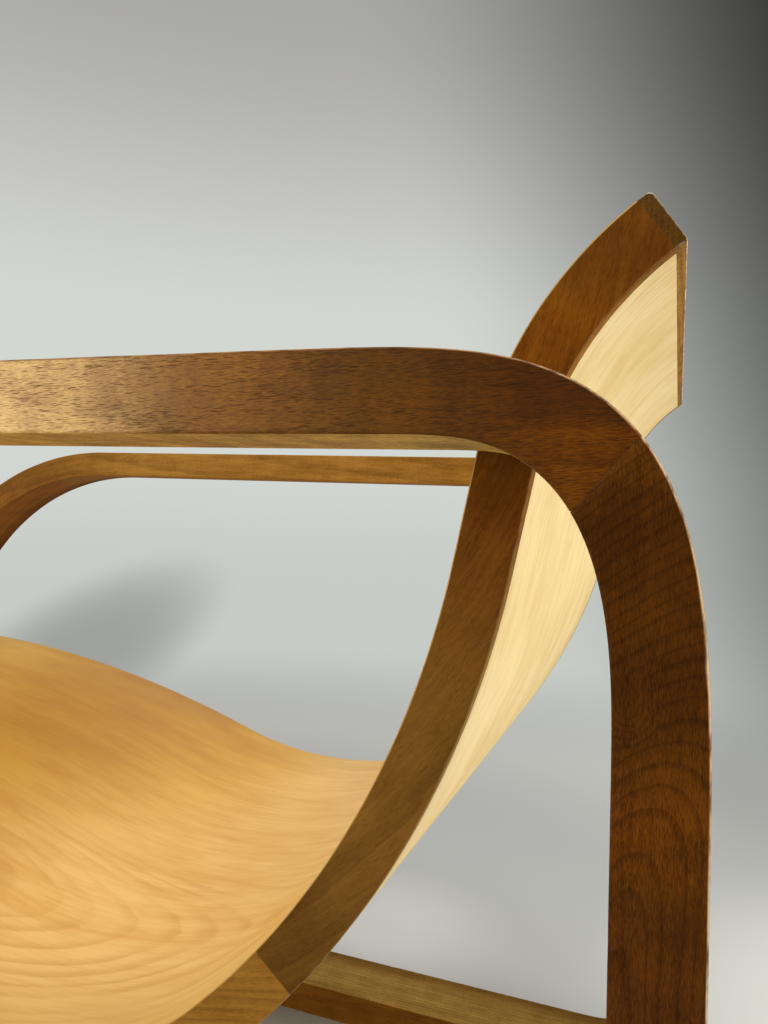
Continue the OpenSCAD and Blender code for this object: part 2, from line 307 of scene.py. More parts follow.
def dark_tone(s, place, fibre_place, fine, cloudy):
    """Returns the fibres and, from 0 to 1, how light the wood is; fine and cloudy are shares of the finest and
    the broadest noise."""
    fibres = s.noise(fibre_place, (2300, 2300, 340), 2, 0.6)
    streaks = s.noise(fibre_place, (560, 560, 36), 3, 0.6)
    bands = s.noise(fibre_place, (75, 75, 7), 2, 0.55)
    figure = s.noise(place, (24, 24, 55), 3, 0.6)
    tone = s.scaled(fibres, fine, s.times(streaks, 0.64 - fine))
    tone = s.plus(tone, s.scaled(bands, 0.46 - cloudy, s.times(figure, cloudy)))
    return fibres, s.ramp(tone, 0.44, 0.68)


def open_pores(s, place, fibre_place, late, per_metre):
    across, along = per_metre
    cells = s.vector("MULTIPLY", fibre_place, (across, across, along))
    pore = s.node("ShaderNodeTexVoronoi", {"feature": "F1"}, Vector=cells, Scale=1.0, Randomness=1.0)
    crowd = s.scaled(late, 0.05, s.times(s.noise(place, (160, 160, 30)), 0.56))
    return s.ramp(pore.outputs["Distance"], s.minus(crowd, 0.06), s.plus(crowd, 0.06), 1.0, 0.0)


def grooved(s, fibres, pores):
    """The relief of planed wood: ridges along the fibres, and the pores as grooves."""
    return s.minus(s.times(fibres, 0.5), s.times(pores, 0.6))


def dark_wood(name, deep, warm, heart=PLAIN_HEART, ring_spacing=0.0042, ring_strength=0.3, ring_edge=0.4,
              pore_strength=0.85, pore_size=(2100, 180), slant=0.0, gloss=0.45, shine=0.5, gains=(), under=None,
              cloudy=0.30, rub=(0.52, 0.31, 0.145), fine=0.44):
    """deep and warm are its two browns, rub the colour of a worn edge, under a gain for the underside. pore_size
    says how many pores there are per metre across and along the fibres, and slant leans the fibres."""
    s = Shader(bpy.data.materials.new(name))
    place, edge = s.attribute("grain_place", "Vector"), s.attribute("edge", "Fac")
    part = s.parts(place)
    across = s.scaled(part["Z"], slant, part["Y"])
    across = s.scaled(s.noise(place, (90, 90, 130), 1), 0.0011, across)
    fibre_place = s.node("ShaderNodeCombineXYZ", X=part["X"], Y=across, Z=part["Z"]).outputs[0]
    ring = growth_rings(s, place, heart, ring_spacing, 0.0016)
    late = s.times(s.ramp(ring, ring_edge, 0.93), s.ramp(ring, 1.0, 0.965))
    fibres, tone = dark_tone(s, place, fibre_place, fine, cloudy)
    plain = s.mix(tone, deep, warm)
    colour = stretched(s, plain, place, gains, [(a + b) / 2 for a, b in zip(deep, warm)])
    beneath = s.ramp(edge, 0.0, -1.0)
    # On the near arm the underside gain is painted light, standing in for reflection and floor bounce.
    if under:
        colour = s.mix(beneath, colour, s.mix(s.ramp(part["Z"], 0.0, 0.075), plain, under, "MULTIPLY"))
    colour = s.mix(s.times(late, ring_strength), colour, RING_TINT, "MULTIPLY")
    pores = open_pores(s, place, fibre_place, late, pore_size)
    colour = s.mix(s.times(pores, pore_strength), colour, PORE_TINT, "MULTIPLY")
    rubbed = s.times(edge, s.ramp(s.noise(place, (300, 300, 70), 3, 0.7), 0.36, 0.62, 0.15, 0.9))
    colour = s.mix(rubbed, colour, rub)
    rough = s.scaled(fibres, 0.20, s.scaled(pores, 0.2, gloss - 0.10))
    rough = s.scaled(beneath, 0.3, rough)
    s.shine(shine, OIL_TINT)
    return s.finish(colour, rough, grooved(s, fibres, pores), 0.20, 0.0002)


print("dark wood ready")

# %% [markdown]
# ### The woods of the side frames
# The near arm turns from dark brown at its bend to a light tan where the window shines on it, with bold pores: the
# dark at the bend is painted shade, and the tan is painted window light and sheen, laid on by stretches. The near leg
# shows a knot and pointed arches, and the far frame and the runners are a lighter, calmer brown. The near frame's
# darker browns are partly painted shade and the far frame's lighter brown partly painted light, as the near side lies
# in shade and the far frame's inner face is lit. Each gets its own call, because on a real chair each comes from its
# own plank.

# %% Woods of the side frames
# Painted light and shade on the near arm: under paints light on its underside, the first two stretches paint sheen and
# window light on its outer side, the third tones that down further along, the fourth paints window light over the arm
# towards its front, the fifth paints shade at the bend, and the last paints reflected light low beside the bend.
outer_side = dict(Y=(-0.0002, -0.0010), X=(-0.020, -0.004))
arm_wood = dark_wood(
    "near_arm_wood", (0.059, 0.0155, 0.0010), (0.144, 0.0450, 0.0030), gloss=0.42, slant=0.05, pore_strength=0.95,
    pore_size=(2900, 165), shine=0.38, cloudy=0.34, under=(5.0, 10.6, 31), rub=(0.48, 0.26, 0.11), gains=(
        stretch((2.1, 2.45, 2.9), **outer_side, Z=(0.105, 0.155)),
        stretch((4.6, 8.7, 42.0), calm=True, **outer_side, Z=(0.164, 0.256)),
        stretch((0.30, 0.16, 0.05), **outer_side, Z=(0.280, 0.620)),
        stretch((1.30, 1.45, 1.8), Z=(0.200, 0.500)),
        stretch((0.76, 0.52, 0.2), Z=(0.090, 0.045)),
        stretch((2.0, 2.6, 2.5), Y=(-0.021, -0.030), Z=(0.070, 0.045))))
# The leg's stretches make it darker from just above the knot up to about 0.57 m and below about 0.45 m, and lighter in
# a band round 0.47 m.
leg_wood = dark_wood(
    "near_leg_wood", (0.062, 0.0165, 0.0008), (0.150, 0.045, 0.003), LEG_HEART, ring_spacing=0.0034, ring_strength=0.5,
    ring_edge=0.62, pore_strength=0.5, pore_size=(2600, 420), gloss=0.52, shine=0.22, rub=(0.66, 0.46, 0.27), gains=(
        stretch((0.76, 0.68, 0.5), Z=(0.488, 0.506), Z_end=(0.580, 0.555)),
        stretch((1.25, 1.2, 0.9), Z=(0.487, 0.474), Z_end=(0.452, 0.462)),
        stretch((0.88, 0.78, 0.6), Z=(0.458, 0.444))))
# Painted light and shade on the far frame: lighter along the arm's front bend and darker towards its end, as the light
# falls there; darker towards its rear bend; its outer side taken back to a darker brown, outside the painted light; on
# its runner a painted reflection along the top and painted shade on the side below.
far_wood = dark_wood(
    "far_frame_wood", (0.200, 0.077, 0.008), (0.330, 0.144, 0.021), gloss=0.6, shine=0.3, cloudy=0.18,
    pore_strength=0.4, pore_size=(1900, 300), fine=0.3, gains=(
        stretch((1.45, 1.75, 2.1), Z=(0.80, 0.60), Z_end=(1.2, 1.0)),
        stretch((0.42, 0.34, 0.18), Z=(0.22, 0.02)),
        stretch((0.56, 0.46, 0.30), X=(-0.030, -0.002), Z=(0.05, 0.25)),
        stretch((0.62, 0.52, 0.35), Z=(0.87, 1.12), Z_end=(1.35, 1.30)),
        stretch((1.05, 1.45, 2.2), Z=(1.2, 1.3), Y=(-0.0315, -0.0328)),
        stretch((0.60, 0.50, 0.2), Z=(1.2, 1.3), Y=(-0.0328, -0.0315))))
rail_wood = dark_wood("rail_wood", (0.075, 0.021, 0.0012), (0.175, 0.056, 0.0045), gloss=0.5, shine=0.35,
                      pore_strength=0.6, pore_size=(2600, 250), rub=(0.60, 0.40, 0.22))
print("frame woods:", arm_wood.name, leg_wood.name, far_wood.name, rail_wood.name)

# %% [markdown]
# ### The woods of the shell's edges
# The boards along the shell's sides are redder, and the length under the seat is much lighter, with a clear seam where
# the two meet. The back's board carries painted shade under the arm and painted light lower down. The edging strips
# have close rings and a rear edge worn almost white. Their ends, where the fibres are cut across, drink more oil and
# are darker; they lie at end_of_strip along the plank.

# %% Woods of the boards and strips
even_board = dict(gloss=0.62, shine=0.22, pore_strength=0.3, pore_size=(2300, 230), cloudy=0.26, fine=0.30)
# Painted light and shade on the back's board: it stays dark in the middle, in painted shade under the arm, is lighter
# in a band near its top, and is lighter and paler lower down, painted light raking along it; near its foot it turns
# darker again. The third stretch lightens every face but the outer side, most of all the lip; the front board gets
# only that one.
board_wood = dark_wood(
    "board_wood", (0.130, 0.037, 0.002), (0.236, 0.077, 0.006), rub=(0.30, 0.15, 0.05), **even_board, gains=(
        stretch((1.4, 2.05, 4.2), calm=True, Z=(0.46, 0.35)),
        stretch((0.66, 0.62, 0.50), Z=(0.305, 0.255)),
        stretch((1.15, 1.60, 1.4), X=(-0.0008, -0.0014)),
        stretch((1.42, 1.35, 0.9), Z=(0.470, 0.500), Z_end=(0.545, 0.524))))
light_board_wood = dark_wood("light_board_wood", (0.310, 0.138, 0.017), (0.440, 0.202, 0.028), ring_strength=0.25,
                             rub=(0.44, 0.26, 0.09), **even_board)
STRIP_PLANK = 900
end_of_strip = (STRIP_PLANK + shell_width / 2) * MM
edging_wood = dark_wood(
    "edging_wood", (0.170, 0.072, 0.005), (0.380, 0.180, 0.020), ring_spacing=0.0022, ring_strength=0.4, gloss=0.6,
    shine=0.35, pore_strength=0.4, rub=(0.95, 0.80, 0.60), gains=(
        stretch((0.46, 0.44, 0.5), Z=(end_of_strip - 0.0012, end_of_strip - 0.0003)),))
print("shell woods:", board_wood.name, light_board_wood.name, edging_wood.name)

# %% [markdown]
# ### The ash facings
# Ash is pale with long arches of growth lines where the veneer was sliced flat from the log. The same ring idea
# makes them: near one place of the seat the heart line comes closest to the veneer, so the rings close into ovals
# there and run on as long lines to both sides. Towards the far side the lines fade, as fading says, and leave soft,
# flame-like clouds.

# %% Ash
ASH_TINT = (1.0, 0.78, 0.40)


def ash(name, pale, honey, line, heart, ring_spacing, ring_strength, gloss=0.38, fading=None, gains=(), dashes=0.35,
        shorter=1.0, shine=0.35):
    """line is the colour of growth lines and pores; dashes says how strong the pores are; shorter shortens clouds."""
    s = Shader(bpy.data.materials.new(name))
    place = s.attribute("grain_place", "Vector")
    ring = growth_rings(s, place, heart, ring_spacing, 0.0026, 0.9)
    late = s.times(s.ramp(ring, 0.35, 0.85), s.ramp(ring, 1.0, 0.88))
    fibres = s.noise(place, (1700, 1700, 60), 3, 0.65)
    strands = s.noise(place, (330, 330, 9 * shorter), 3, 0.6)
    clouds = s.noise(place, (13, 13, 4 * shorter), 3, 0.62)
    flames = s.noise(place, (60, 60, 7 * shorter), 3, 0.6)
    tone = s.scaled(clouds, 0.34, s.times(flames, 0.30))
    tone = s.plus(tone, s.scaled(strands, 0.16, s.times(fibres, 0.20)))
    colour = stretched(s, s.mix(s.ramp(tone, 0.40, 0.62), pale, honey), place, gains)
    faint = s.times(late, s.ramp(s.noise(place, (26, 26, 8)), 0.35, 0.62, 0.3, 1.0))
    if fading:
        start, full, left = fading
        faint = s.times(faint, s.ramp(s.parts(place)["Y"], start, full, 1.0, left))
    colour = s.mix(s.times(faint, ring_strength), colour, line)
    pores = s.ramp(s.noise(place, (1700, 1700, 110), 2, 0.6), 0.60, 0.72)
    colour = s.mix(s.times(pores, s.plus(late, 0.3), dashes), colour, line)
    s.shine(shine, ASH_TINT)
    return s.finish(colour, s.scaled(fibres, 0.16, gloss - 0.04), grooved(s, fibres, pores), 0.14, 0.0002)


# Painted shade on the seat: darker and more orange over its front part and towards its far side, where less light
# falls, fading out again towards the nose. The last stretch makes the back and the rear of the seat a little darker
# along one side edge.
seat_ash = ash(
    "seat_ash", (0.785, 0.492, 0.156), (0.662, 0.356, 0.080), (0.53, 0.26, 0.045), SEAT_HEART, ring_spacing=0.0075,
    ring_strength=0.42, fading=(0.10, 0.02, 0.15), shorter=1.7, shine=0.2, gains=(
        stretch((0.72, 0.60, 0.25), Z=(0.590, 0.760)),
        stretch((1.30, 1.55, 3.8), Z=(0.790, 1.000)),
        stretch((0.86, 0.76, 0.30), Z=(0.500, 0.620), Y=(0.120, -0.160)),
        stretch((0.93, 0.92, 0.92), Y=(0.150, 0.230), Z=(0.60, 0.50))))
# The back's stretch makes it darker lower down, from about a fifth of the way along.
back_ash = ash(
    "back_ash", (0.83, 0.65, 0.33), (0.71, 0.51, 0.210), (0.50, 0.32, 0.12), BACK_HEART, ring_spacing=0.0065,
    ring_strength=0.25, gloss=0.5, dashes=0.6, shorter=4.0, gains=(stretch((0.88, 0.84, 0.68), Z=(0.220, 0.380)),))
print("ash:", seat_ash.name, back_ash.name)

# %% [markdown]
# ### Wood and steel that stay out of sight
# The tongues, dowels, core, studs and threaded inserts are CAD nodes. Their materials read Object coordinates,
# because a CAD mesh has no grain_place of its own: the wood runs across the chair, and the steel has turning marks.

# %% Hidden wood and steel
def hidden_wood():
    s = Shader(bpy.data.materials.new("hidden_wood"))
    place = s.node("ShaderNodeTexCoord").outputs["Object"]
    fibres = s.noise(place, (60, 900, 900), 3, 0.6)
    bands = s.noise(place, (12, 160, 160))
    colour = s.mix(s.ramp(bands, 0.35, 0.7), (0.62, 0.42, 0.22), (0.72, 0.54, 0.31))
    colour = s.mix(s.times(s.ramp(fibres, 0.55, 0.8), 0.5), colour, (0.40, 0.25, 0.12))
    return s.finish(colour, s.scaled(fibres, 0.2, 0.5), fibres, 0.2, 0.0003)


def turned_steel():
    s = Shader(bpy.data.materials.new("turned_steel"))
    place = s.node("ShaderNodeTexCoord").outputs["Object"]
    turning = s.noise(place, (5200, 400, 400), 2, 0.6)
    stains = s.noise(place, (160, 160, 160), 3, 0.6)
    s.surface.inputs["Metallic"].default_value = 1.0
    colour = s.mix(s.ramp(stains, 0.4, 0.75), (0.56, 0.56, 0.55), (0.38, 0.36, 0.33))
    return s.finish(colour, s.scaled(turning, 0.25, 0.22), turning, 0.15, 0.0001)


core_wood, steel = hidden_wood(), turned_steel()
print("materials:", len(bpy.data.materials))

# %% [markdown]
# ## Curves of the side frames
# Each rear bend is a quarter of a superellipse, an ellipse whose shoulders are pushed out, and each front bend is a
# quarter circle. A piece of the frame lies between an outer and an inner curve, so every curve here is sampled as a
# pair of rails with matching points. A Bezier curve would be quicker to draw, but would not pass exactly through the
# CAD's shape.

# %% The bends as pairs of rails
def turns_between(start, end, count=400):
    return np.linspace(math.radians(start), math.radians(end), count)


def bend(y0, z0, side, size, turns):
    """A quarter of a superellipse from the corner (y0, z0); side is 1 for an upper bend and -1 for a lower one."""
    power = 2 / size["fullness"]
    z = z0 - side * size["along_leg"] * (1 - np.sin(turns).clip(0) ** power)
    y = y0 - size["along_arm"] * (1 - np.cos(turns).clip(0) ** power) + leg_lean * (arm_height - z)
    return np.column_stack((y, z))


def rear_bends(side, start, end):
    turns = turns_between(start, end)
    outer_z, inner_z = (arm_height, arm_height - arm_thickness) if side > 0 else (0, runner_thickness)
    return bend(0, outer_z, side, outer_bend, turns), bend(-leg_thickness, inner_z, side, inner_bend, turns)


def front_arcs(centre, outer_radius, inner_y, inner_z, start, end):
    turns = turns_between(start, end)
    around = np.column_stack((np.cos(turns), np.sin(turns)))
    return centre + around * outer_radius, centre + around * np.array((inner_y, inner_z))


upper_centre = np.array((front_bend_radius - frame_reach, arm_height - front_bend_radius))
lower_radius = arm_height - front_bend_radius
lower_centre = np.array((lower_radius - frame_reach, lower_radius))
print("front bends round", upper_centre.round(1), "and", lower_centre.round(1))

# %% [markdown]
# The straight stretches need no points of their own: they are what joins one bend to the next. Afterwards the points
# are spaced evenly, because both the shading and the wear along the edges need steps of about the same length.

# %% Rails of the frame pieces
POINT_GAP = 3.0


def joined(*pairs):
    return np.vstack([p[0] for p in pairs]), np.vstack([p[1] for p in pairs])


def evenly(pair):
    """Respaces both rails alike, by the mean length run along them, in equal steps of about POINT_GAP."""
    outer, inner = pair
    steps = (np.linalg.norm(np.diff(outer, axis=0), axis=1) + np.linalg.norm(np.diff(inner, axis=0), axis=1)) / 2
    length = np.concatenate(([0], np.cumsum(steps)))
    keep = np.concatenate(([True], np.diff(length) > 1e-6))
    marks = np.linspace(0, length[-1], int(math.ceil(length[-1] / POINT_GAP)) + 1)
    return [np.column_stack([np.interp(marks, length[keep], rail[keep, i]) for i in (0, 1)]) for rail in pair]


front_inner = front_bend_radius - arm_thickness
arm_rails = evenly(joined(
    rear_bends(1, joint_angle, 90), front_arcs(upper_centre, front_bend_radius, front_inner, front_inner, 90, 180)))
leg_rails = evenly(joined(rear_bends(1, joint_angle, 0), rear_bends(-1, 0, joint_angle)))
runner_rails = evenly(joined(
    rear_bends(-1, joint_angle, 90),
    front_arcs(lower_centre, lower_radius, lower_radius - arm_thickness, lower_radius - runner_thickness, 270, 180)))
print("rail points of arm, leg and runner:", [len(rails[0]) for rails in (arm_rails, leg_rails, runner_rails)])

# %% [markdown]
# ## From rings to a finished piece
# A ring of points is laid round the piece at every rail point, and joining ring to ring gives a closed skin with even
# quads. Modelling it by hand in Edit Mode, with a bevel on the long edges, would give the same skin, but here every
# edge radius can wander a little and be chipped, as on used furniture. Each piece stores its two attributes on its
# points, gets its materials, and hides the CAD nodes that it stands for.

# %% Skins and finished pieces
SMOOTH_BELOW = 40


def positions(mesh):
    points = np.empty(len(mesh.vertices) * 3)
    mesh.vertices.foreach_get("co", points)
    return points.reshape(-1, 3)


def mesh_volume(mesh):
    """Positive where the faces point outwards."""
    mesh.calc_loop_triangles()
    corners = np.empty(len(mesh.loop_triangles) * 3, dtype=np.int32)
    mesh.loop_triangles.foreach_get("vertices", corners)
    a, b, c = positions(mesh)[corners.reshape(-1, 3)].transpose(1, 0, 2)
    return float(np.einsum("ij,ij->i", a, np.cross(b, c)).sum() / 6)


def finished_piece(name, mesh, edge, place, materials, nodes):
    """Faces that meet at less than SMOOTH_BELOW degrees are shaded as one surface."""
    for key, kind, values in (("edge", "FLOAT", edge), ("grain_place", "FLOAT_VECTOR", place)):
        layer = mesh.attributes.new(key, kind, "POINT")
        layer.data.foreach_set("value" if kind == "FLOAT" else "vector", np.asarray(values, dtype=np.float32).ravel())
    mesh.materials.clear()
    for material in materials:
        mesh.materials.append(material)
    mesh.update()
    if mesh_volume(mesh) < 0:
        mesh.flip_normals()
    mesh.polygons.foreach_set("use_smooth", [True] * len(mesh.polygons))
    mesh.set_sharp_from_angle(angle=math.radians(SMOOTH_BELOW))
    piece = placed(name, mesh)
    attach(piece, "root")
    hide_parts(*nodes)
    print(name, len(mesh.vertices), "points")
    return piece


def skin(name, rings, edge, place, materials, nodes):
    """rings: (stations, points, 3) in mm. edge and place are given for every ring point."""
    stations, points = rings.shape[:2]
    index = np.arange(stations * points).reshape(stations, points)
    beside = np.roll(index, -1, axis=1)
    quads = np.stack((index[:-1], beside[:-1], beside[1:], index[1:]), axis=-1).reshape(-1, 4)
    faces = [*quads.tolist(), index[0][::-1].tolist(), index[-1].tolist()]
    mesh = bpy.data.meshes.new(name)
    mesh.from_pydata((rings.reshape(-1, 3) * MM).tolist(), [], faces)
    return finished_piece(name, mesh, edge.reshape(-1), place.reshape(-1, 3) * MM, materials, nodes)


def into_world(rings):
    """From the side view's y, counted from the frame's rear corner, to the chair's Y."""
    return rings + np.array((0, rear_y, 0))


print("piece helpers ready")

# %% [markdown]
# ### Worn edges
# A hand-rounded edge is never quite even, and years of use leave small dents in it. Two seeded rows of numbers do
# that, one that drifts slowly and one with short dents. A seed makes the random numbers the same on every run.

# %% Wear along an edge
def wandering(count, seed, smooth=12):
    """A seeded row of numbers round 0 that drifts slowly."""
    rows = np.random.default_rng(seed).normal(size=count + 2 * smooth)
    return np.convolve(rows, np.ones(smooth) / math.sqrt(smooth), "same")[smooth:smooth + count]


def chips(count, seed, how_many, deepest):
    """Short dents along an edge, each a few points long."""
    numbers = np.random.default_rng(seed)
    dent = np.zeros(count)
    for _ in range(how_many):
        middle, depth = numbers.integers(4, count - 4), numbers.uniform(0.3, 1.0) * deepest
        for step in (-1, 0, 1):
            dent[middle + step] = max(dent[middle + step], depth * (1 - 0.55 * abs(step)))
    return dent


print("a drifting row:", wandering(5, 1).round(2), "and its dents:", chips(12, 1, 1, 0.7).round(2))

# %% [markdown]
# ### Rings round a frame piece
# A ring has four corners. Each is a quarter round with one more point just beside it on either flat, so that the
# smooth shading stays inside the rounding and the flats stay flat. The skin is SHAVED a hundredth of a millimetre
# inside the CAD's faces, so that it never pokes out of the CAD model's box by a rounding error.

# %% Rings round a frame piece
ROUND_STEPS = 3
BESIDE = 0.5
SHAVED = 0.01
DEEPEST_CHIP = 0.7


def away_from(middle, rail):
    """Unit directions in the side view, square to the rail and away from the middle of the wood."""
    tangent = np.gradient(rail, axis=0)
    tangent /= np.linalg.norm(tangent, axis=1)[:, None]
    normal = np.column_stack((-tangent[:, 1], tangent[:, 0]))
    return normal * np.sign(((rail - middle) * normal).sum(axis=1))[:, None]


def frame_rings(rails, from_x, to_x, radius, seed, chip_count):
    """Rings with rounded corners, in the order outer face, side, inner face, side."""
    outer, inner = rails
    middle = (outer + inner) / 2
    count = len(outer)
    columns, edges = [], []
    for number, (rail, x) in enumerate(((outer, from_x), (outer, to_x), (inner, to_x), (inner, from_x))):
        worn, face_flag = (1.0, 0.0) if rail is outer else (0.0, -1.0)
        size = radius * (1 + 0.10 * wandering(count, seed + number))
        size += chips(count, seed + 10 + number, chip_count, DEEPEST_CHIP)
        inward = 1 if x == min(from_x, to_x) else -1
        column = [(0 * size, size + BESIDE, 0.0)]
        for t in np.linspace(0, math.pi / 2, ROUND_STEPS + 1):
            flag = worn if 0 < t < math.pi / 2 else face_flag * (t > 0)
            column.append((size * (1 - math.cos(t)), size * (1 - math.sin(t)), flag))
        column.append((size + BESIDE, 0 * size, face_flag))
        normal = away_from(middle, rail)
        for from_side, depth, flag in column if number % 2 == 0 else column[::-1]:
            place = rail - normal * (depth + SHAVED)[:, None]
            columns.append(np.column_stack((x + inward * from_side, place)))
            edges.append(np.full(count, flag))
    return np.stack(columns, axis=1), np.stack(edges, axis=1)


def bevel_ends(rings, edge, reach=0.30, drop=0.22, worn=0.12):
    """Breaks both end edges by a hair and wears them a little, so that a joint shows as a fine line."""
    def shrunk(ring):
        centre = ring.mean(axis=0)
        away = ring - centre
        return centre + away * (1 - drop / np.maximum(np.abs(away).max(axis=0), 1.0))

    def step(ring, beside):
        return (beside - ring) / np.linalg.norm(beside - ring, axis=1)[:, None] * reach

    first, last = rings[0], rings[-1]
    rings = np.concatenate(([shrunk(first)], [first + step(first, rings[1])], rings[1:-1],
                            [last + step(last, rings[-2])], [shrunk(last)]))
    tips = np.full((1, edge.shape[1]), worn)
    return rings, np.concatenate((tips, edge, tips))


print("ring helpers ready")

# %% [markdown]
# ## The side frames
# The real frames look like three lengths of wood joined at the two rear bends and at the front: an arm whose end
# sweeps down, a rear leg, and a runner. In the plank the fibres of the arm and the runner lie level and follow the
# front bend, as in a bent lamination; those of the leg stand upright. The grain functions say where each point lay in
# its plank. A length such as RUNNER_PLANK moves a piece further along Z, to wood that no other piece shows.

# %% Grain of the frame pieces
RUNNER_PLANK = 1500


def below_outside(rings):
    """Depth under the chair's outer side face, 0 or negative."""
    return np.abs(rings[..., 0]) - outer_x


def grain_round_front(rings, centre, radius, thickness, level):
    """Fibres that run level and follow the front bend; level is 1 for the arm above and -1 for the runner below."""
    from_centre = np.stack((rings[..., 1] - centre[0], level * (rings[..., 2] - centre[1])), axis=-1)
    bent = from_centre[..., 0] < 0
    turn = np.arctan2(-from_centre[..., 0], from_centre[..., 1]).clip(0, None)
    reach = np.where(bent, np.linalg.norm(from_centre, axis=-1), from_centre[..., 1])
    along = np.where(bent, -centre[0] + turn * (radius - thickness / 2), -rings[..., 1])
    return np.stack((below_outside(rings), reach - radius, along), axis=-1)


def grain_of_arm(rings):
    return grain_round_front(rings, upper_centre, front_bend_radius, arm_thickness, 1)


def grain_of_leg(rings):
    y = rings[..., 1] - leg_lean * (arm_height - rings[..., 2])
    return np.stack((below_outside(rings), y, rings[..., 2]), axis=-1)


def grain_of_runner(rings):
    return grain_round_front(rings, lower_centre, lower_radius, runner_thickness, -1) + (0, 0, RUNNER_PLANK)


print("grain functions ready")

# %% [markdown]
# Both frames come from the same three pairs of rails. Only the side, the wood and the seeds of the wear change.

# %% Arm rails, rear legs and runners on both sides
FRAME_EDGE = 0.8
frame_pieces = (
    ("arm_rail", arm_rails, grain_of_arm, 11, 7, (arm_wood, far_wood)),
    ("rear_leg", leg_rails, grain_of_leg, 31, 9, (leg_wood, rail_wood)),
    ("runner", runner_rails, grain_of_runner, 51, 6, (rail_wood, far_wood)),
)
for side, (side_name, sign) in enumerate((("left", 1), ("right", -1))):
    for title, rails, grain_of, seed, chip_count, woods in frame_pieces:
        near, far = sorted((sign * inner_x, sign * outer_x))
        rings, edge = bevel_ends(*frame_rings(rails, near, far, FRAME_EDGE, seed + 200 * side, chip_count))
        skin(f"{title}_{side_name}_wood", into_world(rings), edge, grain_of(rings), [woods[side]],
             [f"{title}_{side_name}"])

# %% [markdown]
# ## The face line of the shell
# One line, seen from the side, rules the whole shell: the front of the back, down through the tight bend and along
# the seat to its nose. It is a chain of arcs that meet smoothly, each given as a turn in degrees and a radius, or as
# 0 and a length where it is straight.

# %% The first arcs of the face line
arcs = [(43.7, 156.0), (0, 45.3), (-36.7, 386.0), (-27.3, 116.0), (-34.4, 319.0)]
top_setback, top_rise, top_slope = 23.1, 70.0, 35.67


def sin(degrees):
    return math.sin(math.radians(degrees))


def cos(degrees):
    return math.cos(math.radians(degrees))


def move(place, turn, length):
    """Goes on from place = (y, z, heading) along an arc, or straight where turn is 0."""
    y, z, heading = place
    if turn == 0:
        return y + length * cos(heading), z + length * sin(heading), heading
    radius = length / math.radians(turn)
    return (y + radius * (sin(heading + turn) - sin(heading)),
            z - radius * (cos(heading + turn) - cos(heading)), heading + turn)


def under(place, depth):
    """The point that lies depth under the face."""
    return np.array((place[0] - depth * sin(place[2]), place[1] + depth * cos(place[2])))


face_start = (-top_setback, arm_height + top_rise, 180 + top_slope)
runs = [(turn, size if turn == 0 else size * math.radians(abs(turn))) for turn, size in arcs]
thigh_start = face_start
for run in runs:
    thigh_start = move(thigh_start, *run)
print("the swell under the thighs starts at", [round(v, 1) for v in thigh_start])

# %% [markdown]
# The last two arcs are solved and not given. The swell under the thighs takes whatever radius brings the nose to the
# front of the side frames. The nose then turns until it is a little past its fixing, which lies where the middle of
# the shell crosses the middle of the frame's front bend: two circles, so the point follows from their distance.

# %% Thighs, nose and the whole line
thigh_angle, nose_radius, nose_setback, nose_overhang = 17.2, 145.0, 0.6, 16.4
shell_thickness, rear_fixing = 23.7, 105.0

nose_heading = thigh_start[2] + thigh_angle
nose_reach = nose_setback - frame_reach + nose_radius * (1 + sin(nose_heading))
thigh_radius = (nose_reach - thigh_start[0]) / (sin(nose_heading) - sin(thigh_start[2]))
runs.append((thigh_angle, thigh_radius * math.radians(thigh_angle)))
nose_centre = under(move(thigh_start, *runs[-1]), nose_radius)
nose_mid = nose_radius - shell_thickness / 2
frame_mid = front_bend_radius - arm_thickness / 2
gap = upper_centre - nose_centre
gap_length = float(np.linalg.norm(gap))
reach_in = (gap_length ** 2 + nose_mid ** 2 - frame_mid ** 2) / (2 * gap_length)
reach_out = math.sqrt(max(0.0, nose_mid ** 2 - reach_in ** 2))
gap /= gap_length
front_point = nose_centre + reach_in * gap + reach_out * np.array((-gap[1], gap[0]))
spoke = front_point - nose_centre
nose_angle = (360 + math.degrees(math.atan2(spoke[0], -spoke[1])) - nose_heading
              + math.degrees(nose_overhang / nose_radius))
runs.append((nose_angle, nose_radius * math.radians(nose_angle)))
face_length = sum(length for _, length in runs)


def face(station):
    """Place and heading after station millimetres of the line."""
    place = face_start
    for turn, length in runs:
        if station <= length or (turn, length) == runs[-1]:
            return move(place, turn * station / length, station)
        place, station = move(place, turn, length), station - length


rear_point = under(face(rear_fixing), shell_thickness / 2)
print("face line", round(face_length, 1), "mm, fixings at", rear_point.round(1), front_point.round(1))

# %% [markdown]
# ## Running node trees from a script
# Geometry Nodes suit pieces that follow a line or repeat. Two trees are built here, and both start and end alike: a
# group with named inputs, then Realize Instances and Set Material. A modifier runs the tree on a holder object, its
# inputs set by their identifiers, and the result is copied out as a plain mesh, so that no modifier is left.

